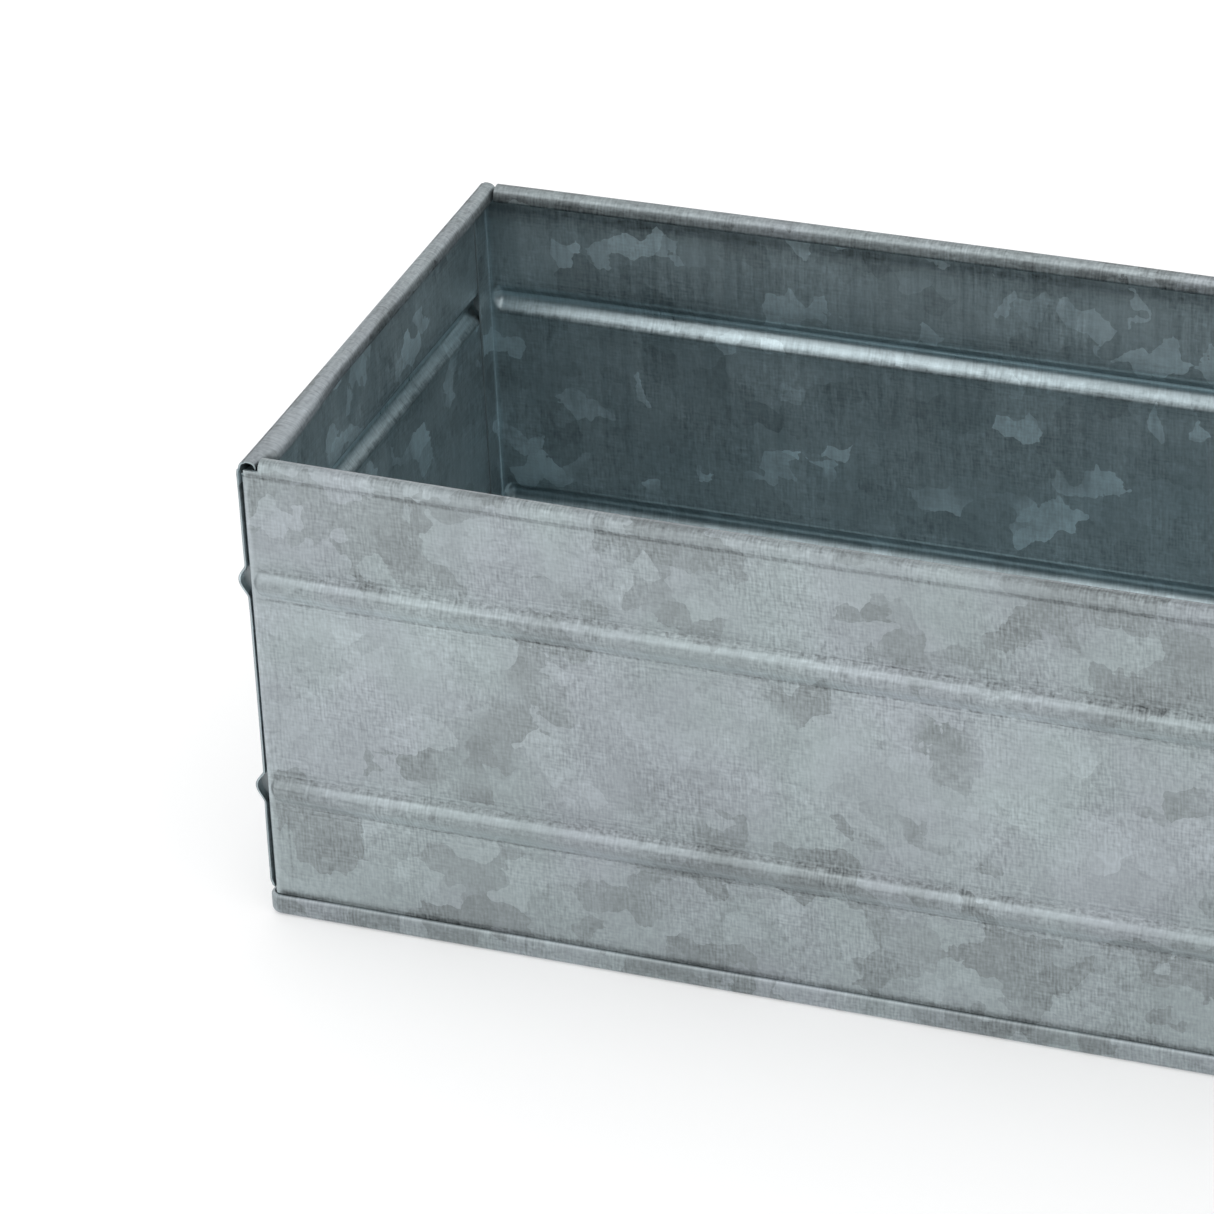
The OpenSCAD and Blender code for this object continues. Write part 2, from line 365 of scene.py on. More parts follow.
def bead_height(z, taper):
    """How far the sheet is pressed out at height z; taper is 1 along the bead and 0 past its tip."""
    out = np.zeros(np.broadcast(z, taper).shape)
    for crest in BEAD_HEIGHTS:
        reach = np.where(z > crest, BEAD_ABOVE, BEAD_BELOW)
        distance = np.clip(np.abs(z - crest) / np.maximum(reach * np.sqrt(taper), LEAST_REACH), 0, 1)
        out += BEAD_OUT * taper * (1 - distance ** 2) ** BEAD_SHARPNESS
    return out


def panel_flex(across, z, from_side, room, seed):
    """Unevenness of a wall's panels, which fades towards its sides, the tray and the beads."""
    flat_share = smooth(from_side / FLEX_FROM_SIDE) * smooth((z - FLANGE_TOP) / FLEX_FROM_TRAY)
    return PANEL_FLEX * ripple(across, z, seed) * flat_share * room


def lip(z):
    """The lean outwards just under a rim."""
    return RIM_LIP * smooth((z - LIP_FOOT) / LIP_RISE)


def cell_places(across, section):
    """Each cell's distance from the wall's middle, and its height."""
    cell_x = np.abs(across[:-1] + across[1:])[None] / 2
    cell_z = (section[:-1, 1] + section[1:, 1])[:, None] / 2
    return cell_x, cell_z


def unfolded(along, section, seed):
    """Each point's place on the flat sheet; the seed gives each wall a pattern of its own."""
    flat = np.empty((len(section), len(along), 3))
    flat[..., 0] = along[None]
    flat[..., 1] = travelled(section)[:, None]
    flat[..., 2] = seed
    return flat


def wall_marks(section, upright, taper, fold):
    """Marks on a wall: tool wear along the beads, painted shade, painted highlights, and burnished
    places that are less rough.

    fold is 1 on the fold lines and 0 away from them."""
    z = section[:, 1, None]
    depth = section[:, 0, None]
    on_bead = taper * upright
    rolled = 1 - upright
    on_roll = rolled * (depth > RIM_WIDTH / 2)
    groove_share = np.where(z > TOP / 2, 1, LOWER_GROOVE_SHARE)
    roll_top = rolled * smooth((z - TOP + ROLL_TOP_DEPTH) / ROLL_FADE)
    roll_side = on_roll * smooth((TOP - ROLL_FADE - z) / ROLL_FADE)
    rub = sum(peak(z, crest + BEAD_ABOVE, RUB_REACH) + peak(z, crest - BEAD_BELOW, RUB_REACH)
              for crest in BEAD_HEIGHTS) * on_bead
    # painted shade on the beads, under the rim and on the roll, and painted shadow under the roll
    # inside
    outer_shade = (along_lines(z, BEAD_HEIGHTS, BEAD_SHADE) * on_bead
                  + along_lines(z, [TOP], UNDER_RIM_SHADE) * upright
                  + ROLL_TOP_SHADE * roll_top + ROLL_SIDE_SHADE * roll_side)
    inner_shade = (along_lines(z, BEAD_HEIGHTS, GROOVE_SHADE) * on_bead
                  + ROLL_SHADOW * peak(z, SHADOW_AT, SHADOW_REACH) * upright)
    # painted highlights on the beads, the rim's bend and the folds
    outer_highlight = (along_lines(z, BEAD_HEIGHTS, BEAD_HIGHLIGHT) * on_bead
                  + along_lines(z, [TOP], RIM_BEND_HIGHLIGHT) * (depth < RIM_BEND_RADIUS) + fold)
    inner_highlight = (along_lines(z, BEAD_HEIGHTS, GROOVE_HIGHLIGHT) * on_bead * groove_share
                  + INNER_FOLD_HIGHLIGHT * fold)
    shoulder = peak(z, SHOULDER_AT, SHOULDER_REACH) * on_roll
    groove = sum(peak(z, crest, BEAD_BELOW) for crest in BEAD_HEIGHTS) * on_bead
    return {
        "rub": (rub, rub),
        "shade_and_print": (outer_shade, inner_shade),
        "shine": (np.clip(shoulder + fold, 0, 1), np.clip(groove + fold, 0, 1)),
        "painted_highlight": (outer_highlight, inner_highlight),
    }


# ---- long walls ----

def folded_plan():
    """Plan of a long wall's sheet as (x, depth) points, and how far its rim and its flat part reach."""
    fold_x = TAB_FACE - FOLD_RADIUS
    rim_x = HALF_LENGTH - RIM_WIDTH - RIM_CORNER_GAP
    ends = [(-fold_x, -fold_x + BEAD_END / 2), (fold_x - BEAD_END / 2, fold_x)]
    straight = ladder([-fold_x, -rim_x, rim_x, fold_x], ends)
    tab_depths = np.linspace(TAB_WIDTH, FOLD_RADIUS, TAB_POINTS)
    tab = np.stack([np.full(len(tab_depths), -(TAB_FACE - SHEET / 2)), tab_depths], 1)
    fold = arc((-fold_x, FOLD_RADIUS), FOLD_RADIUS - SHEET / 2, 180, 270, FOLD_POINTS)
    left = np.concatenate([tab, fold[1:-1]])
    flat = np.stack([straight, np.full(len(straight), SHEET / 2)], 1)
    right = left[::-1] * np.array([-1, 1])
    return np.concatenate([left, flat, right]), rim_x, fold_x


def seam_shade_and_print(z, from_end):
    """Painted shade on the wall just above the tray's flange, where the two meet, and the line that the
    tab's edge prints into the wall.
    """
    strength = SEAM_SHADE + CORNER_SEAM_SHADE * peak(from_end, 0, CORNER_SEAM_SHADE_REACH)
    seam_shade = strength * peak(z, SEAM_SHADE_AT, SEAM_SHADE_REACH) * smooth(from_end / SEAM_SHADE_START)
    tab_print = along_lines(z, [0], TAB_PRINT) * peak(from_end, TAB_PRINT_AT, TAB_PRINT_WIDTH)
    return seam_shade + tab_print


def long_wall(name, turn, seed):
    """A long wall with its rim, its closed beads and the tab folded behind each end wall."""
    plan, rim_x, fold_x = folded_plan()
    section, upright_rows = wall_section()
    along_plan = np.gradient(plan, axis=0)
    outward = np.stack([along_plan[:, 1], -along_plan[:, 0]], 1)
    outward /= np.linalg.norm(outward, axis=1, keepdims=True)
    x = plan[None, :, 0]
    z = section[:, 1, None]
    upright = (np.arange(len(section)) < upright_rows)[:, None]
    from_end = np.maximum(fold_x - np.abs(x), 0)
    taper = (BEAD_TIP_SHARE * smooth(from_end / BEAD_TIP)
             + (1 - BEAD_TIP_SHARE) * smooth(from_end / BEAD_END))
    bead = bead_height(z, taper) * upright
    flex = panel_flex(x, z, from_end, 1 - bead / BEAD_OUT, seed)
    bow = RIM_BOW * np.cos(np.clip(x / HALF_LENGTH, -1, 1) * math.pi / 2)
    bow = bow * smooth((z - BEAD_HEIGHTS[1] - BEAD_ABOVE) / (TOP - BEAD_HEIGHTS[1]))
    depth = section[:, 0, None] - SHEET / 2
    out = bead + flex + bow + lip(z) - depth
    middle = np.empty((len(section), len(plan), 3))
    middle[..., 0] = x + outward[None, :, 0] * out
    middle[..., 1] = plan[None, :, 1] + outward[None, :, 1] * out
    middle[..., 2] = z
    cell_x, cell_z = cell_places(plan[:, 0], section)
    metal_top = np.where(cell_x < rim_x, TOP, np.where(cell_x < fold_x, NOTCH_TOP, TAB_TOP))
    cells = np.where(upright[1:], cell_z < metal_top, cell_x < rim_x)
    fold = peak(np.abs(x), fold_x, FOLD_REACH) * (plan[None, :, 1] < 2 * FOLD_RADIUS)
    marks = wall_marks(section, upright, taper, fold * upright)
    outer_shade, inner_shade = marks["shade_and_print"]
    # painted shade above the tray's flange, with the tab's printed line
    marks["shade_and_print"] = (outer_shade + seam_shade_and_print(z, from_end) * upright, inner_shade)
    flat = unfolded(travelled(plan), section, seed)
    return thick_sheet(name, placed(middle, turn, HALF_WIDTH), cells, flat, marks)


# ---- end walls ----

def edge_flare(z, from_edge, seed):
    """How far an end wall's free edge stands off the long wall's fold."""
    lift = (FLARE_MEAN + FLARE_SWING * np.cos(z / TOP * 2 * math.pi)
            + FLARE_FLUTTER * np.sin(z / FLUTTER_LENGTH + seed))
    flare = EDGE_FLARE * np.clip(lift, LEAST_FLARE, 1) * np.exp(-from_edge / FLARE_REACH)
    return flare * smooth((TOP - z) / FLARE_FROM_TOP) * smooth((z - FLANGE_TOP) / FLARE_FROM_TRAY)


def rim_crease(z, depth, from_edge):
    """Depth of the crease along the ends of an end wall's rim."""
    crease = RIM_CREASE * peak(depth, CREASE_AT, CREASE_WIDTH) * (z > TOP - RIM_BEND_RADIUS)
    return crease * smooth((CREASE_END - from_edge) / CREASE_FADE)


def end_wall(name, turn, seed):
    """An end wall with its rim, and beads that run out open at both edges."""
    rim_x = HALF_WIDTH - SHEET - END_RIM_GAP
    cut_x = HALF_WIDTH - FOOT_CUT
    section, upright_rows = wall_section([FOOT_CUT_TOP])
    ends = [(-HALF_WIDTH, -HALF_WIDTH + EDGE_ZONE), (HALF_WIDTH - EDGE_ZONE, HALF_WIDTH)]
    columns = ladder([-HALF_WIDTH, -rim_x, -cut_x, cut_x, rim_x, HALF_WIDTH], ends)
    x = columns[None]
    z = section[:, 1, None]
    depth = section[:, 0, None]
    upright = (np.arange(len(section)) < upright_rows)[:, None]
    from_edge = HALF_WIDTH - np.abs(x)
    from_one_end = HALF_WIDTH - x
    full = np.ones_like(x)
    bead = bead_height(z, full) * upright
    room = 1 - bead / BEAD_OUT
    flex = panel_flex(x, z, from_edge, room, seed)
    on_roll = smooth((depth - RIM_WIDTH / 2) / (RIM_WIDTH / 2)) * (z > TOP - RIM_HEIGHT)
    flattened = (smooth((from_one_end - RIM_WIDTH) / SPREAD_RISE)
                 * smooth((SPREAD_END - from_one_end) / SPREAD_FADE)) * on_roll
    flare = edge_flare(z, from_edge, seed) * room
    out = bead + flex + flare - (depth - SHEET / 2) - RIM_SPREAD * flattened
    drop = END_RIM_DROP * smooth((z - BEAD_HEIGHTS[1]) / (TOP - RIM_HEIGHT - BEAD_HEIGHTS[1]))
    slant = np.clip((FOOT_SLANT_TOP - z) / (FOOT_SLANT_TOP - FOOT_CUT_TOP), 0, 1)
    slant = slant * np.clip(np.abs(x) - cut_x, 0, None) * (z >= FOOT_CUT_TOP - HAIR)
    crease = rim_crease(z, depth, from_edge)
    middle = np.empty((len(section), len(columns), 3))
    middle[..., 0] = x
    middle[..., 1] = SHEET / 2 - out
    middle[..., 2] = z - drop + slant - crease
    cell_x, cell_z = cell_places(columns, section)
    is_foot = (cell_z < FOOT_CUT_TOP) & upright[1:]
    is_full_width = (cell_z > FOOT_CUT_TOP) & (cell_z < NOTCH_TOP) & upright[1:]
    cells = is_full_width | (is_foot & (cell_x < cut_x)) | (~is_foot & (cell_x < rim_x))
    marks = wall_marks(section, upright, full, 0)
    outer_shade, inner_shade = marks["shade_and_print"]
    # less painted shade where the roll is flattened, and painted shade in the rim's crease
    outer_shade = outer_shade * (1 - SPREAD_SHADE_CUT * flattened) + CREASE_SHADE * crease / RIM_CREASE
    marks["shade_and_print"] = (outer_shade, inner_shade)
    flat = unfolded(columns, section, seed)
    return thick_sheet(name, placed(middle, turn, HALF_LENGTH), cells, flat, marks)


# ---- bottom tray ----

def tray_ring():
    """Plan round the tray, counter-clockwise: centres of its corners' curves with the points
    between them, and outward directions."""
    half_x, half_y = tray_high.x - TRAY_CORNER, tray_high.y - TRAY_CORNER
    corners = [(half_x, -half_y, -90), (half_x, half_y, 0),
               (-half_x, half_y, 90), (-half_x, -half_y, 180)]
    centres, angles = [], []
    for number, (x, y, start) in enumerate(corners):
        turn = np.linspace(start, start + 90, TRAY_CORNER_POINTS)
        centres.extend([(x, y)] * len(turn))
        angles.extend(turn)
        next_x, next_y, _ = corners[(number + 1) % 4]
        count = max(2, round(math.hypot(next_x - x, next_y - y) / COARSE))
        shares = np.linspace(0, 1, count + 1)[1:-1]
        centres.extend((x + (next_x - x) * share, y + (next_y - y) * share) for share in shares)
        angles.extend([start + 90] * len(shares))
    angles = np.radians(angles)
    return np.array(centres), np.stack([np.cos(angles), np.sin(angles)], 1)


def bottom_tray(name, seed):
    """The flat bottom, with its flange turned up all round and a thin hem turned in at the top."""
    centres, outward = tray_ring()
    bend_inside = TRAY_CORNER - TRAY_BEND
    bend = arc((bend_inside, TRAY_BEND), TRAY_BEND - SHEET / 2, -90, 0, TRAY_BEND_POINTS)
    hem_foot = FLANGE_TOP - SHEET / 2 - HEM_RADIUS
    rise = np.linspace(TRAY_BEND, hem_foot, FLANGE_POINTS)[1:]
    flange = np.stack([np.full(len(rise), TRAY_CORNER - SHEET / 2), rise], 1)
    hem = arc((TRAY_CORNER - SHEET / 2 - HEM_RADIUS, hem_foot), HEM_RADIUS, 0, 90, HEM_POINTS)[1:]
    rows = []
    for share in FLOOR_RINGS:
        plan = (centres + outward * bend_inside) * share
        rows.append(np.column_stack([plan, np.full(len(plan), SHEET / 2)]))
    to_corner = tray_high.x - TRAY_CORNER - np.abs(centres[:, 0])
    wave = CLOSING_WAVE * np.sin(travelled(centres) * CLOSING_WAVE_NUMBER)
    closing = smooth((to_corner - CLOSING_START) / CLOSING_RISE) * (FLANGE_CLOSING + wave)
    for reach, height in np.concatenate([bend, flange, hem]):
        lean = closing * smooth((height - CLOSING_FOOT) / (FLANGE_TOP - CLOSING_FOOT))
        plan = centres + outward * (reach - lean)[:, None]
        rows.append(np.column_stack([plan, np.full(len(plan), height)]))
    middle = np.array(rows)
    height = middle[..., 2]
    cells = np.ones((len(middle) - 1, middle.shape[1]), bool)
    flat = middle.copy()
    flat[..., :2] += height[..., None] * outward
    flat[..., 2] = seed
    on_hem = smooth((height - hem_foot) / HEM_RADIUS)
    on_flange = band(height, TRAY_BEND, hem_foot + FLANGE_SHADE_TOP)
    # painted shade on the flange's side and a painted highlight along its hem
    marks = {
        "rub": (0, 0),
        "shade_and_print": (FLANGE_SHADE * on_flange, 0),
        "shine": (HEM_SHINE * on_hem, 0),
        "painted_highlight": (HEM_HIGHLIGHT * on_hem, 0),
    }
    return thick_sheet(name, middle, cells, flat, marks, closed=True, capped=True)


# ---- material nodes ----

NOISE_RANGE = (0.3, 0.7)                    # noise stays within about this
WAVE_UNIT = math.pi / 10                    # a Wave node's scale for one wave per metre


def node(tree, kind, inputs=None, **settings):
    """Adds a node; an input is a plain value or another node's output."""
    made = tree.nodes.new(kind)
    for name, value in settings.items():
        setattr(made, name, value)
    for name, value in (inputs or {}).items():
        socket = made.inputs[name]
        if isinstance(value, bpy.types.NodeSocket):
            tree.links.new(value, socket)
        else:
            socket.default_value = value
    return made


def attribute(tree, name, output="Fac"):
    """What the mesh keeps for each point under this name."""
    return node(tree, "ShaderNodeAttribute", attribute_name=name).outputs[output]


def maths(tree, operation, first, second=0.0, third=0.0):
    """The result of one Math node; most operations leave the third value out."""
    return node(tree, "ShaderNodeMath", {0: first, 1: second, 2: third}, operation=operation).outputs[0]


def plus(tree, first, second):
    """The sum of two values."""
    return maths(tree, "ADD", first, second)


def minus(tree, first, second):
    """The first value less the second."""
    return maths(tree, "SUBTRACT", first, second)


def times(tree, first, second):
    """The product of two values."""
    return maths(tree, "MULTIPLY", first, second)


def vector_maths(tree, operation, *values):
    """The result of one Vector Math node."""
    return node(tree, "ShaderNodeVectorMath", dict(enumerate(values)), operation=operation).outputs[0]


def slanted_place(tree, place, degrees, scale):
    """The place turned in the sheet's plane, and then stretched."""
    return node(tree, "ShaderNodeMapping", {
        "Vector": place, "Rotation": (0, 0, math.radians(degrees)), "Scale": scale}).outputs["Vector"]


def noise(tree, place, scale, detail=2.0, roughness=0.5, output="Fac"):
    """Noise with this many humps per metre."""
    return node(tree, "ShaderNodeTexNoise", {
        "Vector": place, "Scale": scale, "Detail": detail, "Roughness": roughness}).outputs[output]


def dashes(tree, place, scales, detail, roughness):
    """Noise with its own number of humps per metre along each axis."""
    return noise(tree, vector_maths(tree, "MULTIPLY", place, scales), 1.0, detail, roughness)


def ranged(tree, value, low, high, to_low, to_high):
    """The value's range from low to high, spread over to_low to to_high."""
    return node(tree, "ShaderNodeMapRange", {
        "Value": value, "From Min": low, "From Max": high,
        "To Min": to_low, "To Max": to_high}).outputs["Result"]


def spread(tree, value, low, high):
    """Noise spread over low to high."""
    return ranged(tree, value, *NOISE_RANGE, low, high)


def mixed(tree, share, first, second):
    """The first colour where the share is 0, and the second where it is 1."""
    return node(tree, "ShaderNodeMix", {0: share, 6: first, 7: second}, data_type="RGBA").outputs[2]


def stepped(tree, value, steps):
    """A ramp of grey levels from (place, level) pairs."""
    ramp = node(tree, "ShaderNodeValToRGB", {"Fac": value})
    points = ramp.color_ramp.elements
    while len(points) < len(steps):
        points.new(0.5)
    for point, (position, level) in zip(points, steps):
        point.position = position
        point.color = (level, level, level, 1)
    return ramp.outputs["Color"]


def threads(tree, place, direction, spacing):
    """Even, slightly wandering lines across the given axis, from -0.5 to 0.5."""
    wave = node(tree, "ShaderNodeTexWave", {
        "Vector": place, "Scale": WAVE_UNIT / spacing, "Distortion": THREAD_WANDER, "Detail": 1.0,
        "Detail Scale": THREAD_WANDER_SCALE}, bands_direction=direction)
    return minus(tree, wave.outputs["Fac"], 0.5)


def warped(tree, place, scale, reach):
    """The place, moved about by noise."""
    push = noise(tree, place, scale, 3, output="Color")
    push = vector_maths(tree, "SUBTRACT", push, (0.5,) * 3)
    return vector_maths(tree, "MULTIPLY_ADD", push, (reach,) * 3, place)


def new_material(name):
    """A material with a Principled shader, and its node tree."""
    material = bpy.data.materials.new(name)
    material.use_nodes = True
    tree = material.node_tree
    tree.nodes.clear()
    shader = node(tree, "ShaderNodeBsdfPrincipled")
    output = node(tree, "ShaderNodeOutputMaterial")
    tree.links.new(shader.outputs["BSDF"], output.inputs["Surface"])
    return material, tree, shader


def finish_metal(tree, shader, height, strength, depth):
    """Makes the shader a metal, with bumps of the given height pattern, strength and depth."""
    bump = node(tree, "ShaderNodeBump", {"Height": height, "Strength": strength, "Distance": depth})
    tree.links.new(bump.outputs["Normal"], shader.inputs["Normal"])
    shader.inputs["Metallic"].default_value = 1.0


# ---- galvanised sheet ----
# Scales count per metre, and tones are shares of the zinc's colour. Four numbers are a range and
# what it is spread over, as ranged() takes them.

OUTER_ZINC = (0.369, 0.420, 0.432, 1)
MAUVE_ZINC = (0.377, 0.414, 0.439, 1)
DARK_ZINC = (0.372, 0.416, 0.429, 1)
# the inner face's zinc is painted bluer and lighter, a painted reflection of light bouncing between the
# walls
INNER_ZINC_REFLECTION_TINT = (0.376, 0.448, 0.472, 1)
MAUVE_SCALE = 16                            # where the outer zinc turns mauve
MAUVE_PLACES = (0.4, 0.6, 0, 1)
DARK_PATCHES = (0.92, 0.75, 0, 1)           # tones of patches that take the dark zinc's colour

CELL_SCALE = 105.0                          # small cells, which a patch is made of
RAGGED_SCALE = 75                           # and how ragged their edges are
RAGGED_REACH = 16 * MM
CELL_TONE = 0.035                           # cells differ by this much
PATCH_SCALE = 26
INNER_PATCH_SCALE = 30
FAINT_PATCH_SCALE = 30
PATCH_SLANT = 25                            # degrees
INNER_PATCH_SLANT = -35
PATCH_STRETCH = (0.75, 1.25, 1)
INNER_PATCH_STRETCH = (0.75, 1.7, 1)
FAINT_PATCH_SHIFT = (0.4, 0.7, 0.2)
OUTER_LEVELS = (                            # (noise, tone): dark patches, bare zinc and pale patches
    (0.0, 0.72), (0.39, 0.76), (0.42, 0.80), (0.440, 0.82), (0.447, 0.98), (0.52, 1.0),
    (0.61, 1.02), (0.617, 1.08))
INNER_LEVELS = (                            # darker places, bare zinc and small bright flakes
    (0.0, 0.78), (0.36, 0.84), (0.38, 0.93), (0.50, 1.0), (0.60, 1.05), (0.607, 1.4),
    (0.66, 1.6), (1.0, 1.9))
FAINT_LEVELS = ((0.0, 0.93), (0.43, 0.95), (0.44, 0.99), (0.55, 1.0), (0.56, 1.05), (1.0, 1.08))
PATTERN_MIDDLE = 103 * MM                   # half way up a wall, between its beads
FEWER_PATCHES = (20 * MM, 60 * MM, 0.025, -0.035)       # fewer dark ones in the middle
FADING_SCALE = 36
FADING_PLACES = (0.38, 0.56, 0.12, 1)       # patches fade in places,
FADING_LIMIT = (40 * MM, 55 * MM, 0, 0.8)   # but less so near the rim and the tray;
BURNISHED_FADING = (0, 1, 1, 0.3)           # and they are faint where the zinc is burnished

CLOUD_SCALE = 9
CLOUD_TONE = 0.06
WARP_SCALES = (960, 240, 1)                 # linen: short dashes up the sheet
WEFT_SCALES = (240, 900, 1)                 # and along it
WARP_TONE = 1.2
WEFT_TONE = 0.8
UPRIGHT_THREADS = 1.35 * MM                 # and an even weave over them
LEVEL_THREADS = 1.5 * MM
UPRIGHT_THREAD_TONE = 0.13
LEVEL_THREAD_TONE = 0.07
THREAD_WANDER = 2.5
THREAD_WANDER_SCALE = 0.3
LINEN_SCALE = 24                            # the linen is stronger in some places
LINEN_PLACES = (0.38, 0.62, 0.25, 0.6)
STREAK_SCALES = (420, 14, 1)                # streaks run up the sheet
OUTER_STREAKS = 0.05
INNER_STREAKS = 0.06

LOW_SHADE = (105 * MM, 70 * MM, 0, -0.07)   # painted shade: the outer face is a little darker low down
END_SHADE = (50 * MM, 450 * MM, 0.02, -0.03)            # and painted shade towards one end

TOOL_SCALES = (12, 900, 1)                  # rub marks run along the beads
RUB_TONE = (0.35, 0.65, -0.16, 0.08)
FLECK_SCALES = (520, 820, 1)
RUB_FLECKS = 0.10
OUTER_FLECKS = 0.08                         # flecks in the places with painted shade
INNER_FLECKS = 0.02
# how much the painted shade darkens the zinc, and how much the painted highlights lighten it
SHADE_TONE = 0.12
HIGHLIGHT_TONE = 0.10
SPECKLE_SCALE = 900
SPECKLE_TONE = 0.03

SHEET_ROUGHNESS = (0.48, 0.58)
STREAK_ROUGHNESS = (-0.04, 0.04)
BURNISHED_SMOOTHER = 0.20                   # how much less rough the burnished places are
RELIEF_SCALE = 140
LINEN_RELIEF = 0.6
RELIEF_STRENGTH = 0.5
RELIEF_DEPTH = 0.04 * MM


def crystal_patches(tree, place, height, inside, shine):
    """Tone of the zinc's crystals, tone of their cells, and the noise that places them.

    The noise is the same all over each small ragged cell, and is then cut into levels."""
    ragged = warped(tree, place, RAGGED_SCALE, RAGGED_REACH)
    cell = node(tree, "ShaderNodeTexVoronoi", {"Vector": ragged, "Scale": CELL_SCALE}).outputs
    slanted = slanted_place(tree, cell["Position"], PATCH_SLANT, PATCH_STRETCH)
    cluster = noise(tree, slanted, PATCH_SCALE, 2, 0.55)
    inner_slanted = slanted_place(tree, cell["Position"], INNER_PATCH_SLANT, INNER_PATCH_STRETCH)
    inner_cluster = noise(tree, inner_slanted, INNER_PATCH_SCALE, 1, 0.5)

    from_middle = maths(tree, "ABSOLUTE", minus(tree, height, PATTERN_MIDDLE))
    fewer = ranged(tree, from_middle, *FEWER_PATCHES)
    outer_patches = stepped(tree, plus(tree, cluster, fewer), OUTER_LEVELS)
    patches = mixed(tree, inside, outer_patches, stepped(tree, inner_cluster, INNER_LEVELS))

    fading = ranged(tree, noise(tree, place, FADING_SCALE, 1), *FADING_PLACES)
    fading = maths(tree, "MAXIMUM", fading, ranged(tree, from_middle, *FADING_LIMIT))
    fading = times(tree, fading, ranged(tree, shine, *BURNISHED_FADING))
    patches = maths(tree, "MULTIPLY_ADD", minus(tree, patches, 1.0), fading, 1.0)

    faint_place = vector_maths(tree, "ADD", slanted, FAINT_PATCH_SHIFT)
    faint_cluster = noise(tree, faint_place, FAINT_PATCH_SCALE, 2, 0.55)
    patches = times(tree, patches, stepped(tree, faint_cluster, FAINT_LEVELS))
    cell_tone = ranged(tree, cell["Color"], 0, 1, 1 - CELL_TONE, 1 + CELL_TONE)
    return patches, cell_tone, cluster


def linen_grain(tree, place):
    """The linen's noise, and the tone that it and the weave over it give."""
    warp_threads = dashes(tree, place, WARP_SCALES, 1, 0.5)
    weft_threads = dashes(tree, place, WEFT_SCALES, 1, 0.5)
    linen = plus(tree, times(tree, warp_threads, WARP_TONE), times(tree, weft_threads, WEFT_TONE))
    share = ranged(tree, noise(tree, place, LINEN_SCALE, 2), *LINEN_PLACES)
    upright_threads = times(tree, threads(tree, place, "X", UPRIGHT_THREADS), UPRIGHT_THREAD_TONE)
    level_threads = times(tree, threads(tree, place, "Y", LEVEL_THREADS), LEVEL_THREAD_TONE)
    weave = plus(tree, upright_threads, level_threads)
    tone = times(tree, plus(tree, minus(tree, linen, 1.0), weave), share)
    return linen, tone


def wear_tones(tree, place, inside):
    """Tones of the rub marks along the beads, of the painted shade with the tab's printed line, and of
    the painted highlights.
    """
    flecks = spread(tree, dashes(tree, place, FLECK_SCALES, 1, 0.6), -1, 1)
    tool_noise = dashes(tree, place, TOOL_SCALES, 3, 0.6)
    tool_tone = plus(tree, ranged(tree, tool_noise, *RUB_TONE), times(tree, flecks, RUB_FLECKS))
    tool_marks = times(tree, tool_tone, attribute(tree, "rub"))
    # this mark holds painted shade, and the tab's printed line
    shade_and_print = attribute(tree, "shade_and_print")
    fleck_reach = ranged(tree, inside, 0, 1, OUTER_FLECKS, INNER_FLECKS)
    flecks_in_shade = times(tree, maths(tree, "MINIMUM", shade_and_print, 1.0), times(tree, flecks, fleck_reach))
    shade_and_print_marks = minus(tree, flecks_in_shade, times(tree, shade_and_print, SHADE_TONE))
    # this mark holds painted highlights
    highlight_marks = times(tree, attribute(tree, "painted_highlight"), HIGHLIGHT_TONE)
    return [tool_marks, shade_and_print_marks, highlight_marks]


def painted_shade_falloff(tree, axes, inside):
    """Painted shade on the outer face: a little darker low down and towards one end."""
    low = ranged(tree, axes["Y"], *LOW_SHADE)
    end = ranged(tree, axes["X"], *END_SHADE)
    return times(tree, plus(tree, low, end), minus(tree, 1.0, inside))


